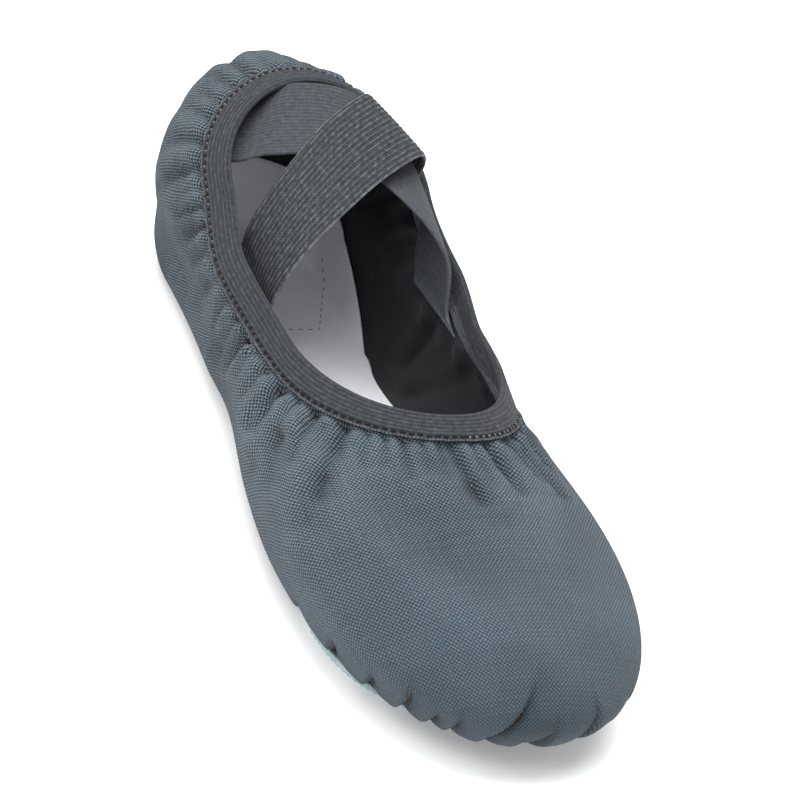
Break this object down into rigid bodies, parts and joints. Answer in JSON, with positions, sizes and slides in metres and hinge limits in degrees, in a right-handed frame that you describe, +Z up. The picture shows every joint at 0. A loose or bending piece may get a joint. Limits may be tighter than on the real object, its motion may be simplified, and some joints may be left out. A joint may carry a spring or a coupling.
{
  "type": "dance practice shoe",
  "caption": "Soft canvas dance slipper with a split suede sole, an elastic-bound collar and crossed elastic straps over an open instep.",
  "frame": {"origin": "centre of the shoe's bounding box at the floor, under the waist", "axes": "+Y towards the heel, -Y towards the toe, +Z up out of the sole, +X to the side where the upper strap is sewn at the heel"},
  "size_m": [0.0737, 0.1802, 0.0579],
  "materials": {
    "canvas": "blue-grey cotton canvas in a plain weave, matt, with a black lining",
    "binding": "grey elastic tape with fine lengthwise ribs, sewn on with a row of stitches",
    "strap": "grey ribbed elastic webbing, matt",
    "insole": "pale grey smooth cotton sock",
    "suede": "pale aqua split suede with a soft nap and two rows of edge stitches"
  },
  "bodies": {
    "root": {"upper": "canvas", "collar_binding": "binding", "strap_over": "strap", "strap_under": "strap", "insole": "insole", "forefoot_sole": "suede", "heel_sole": "suede"}
  },
  "joints": []
}
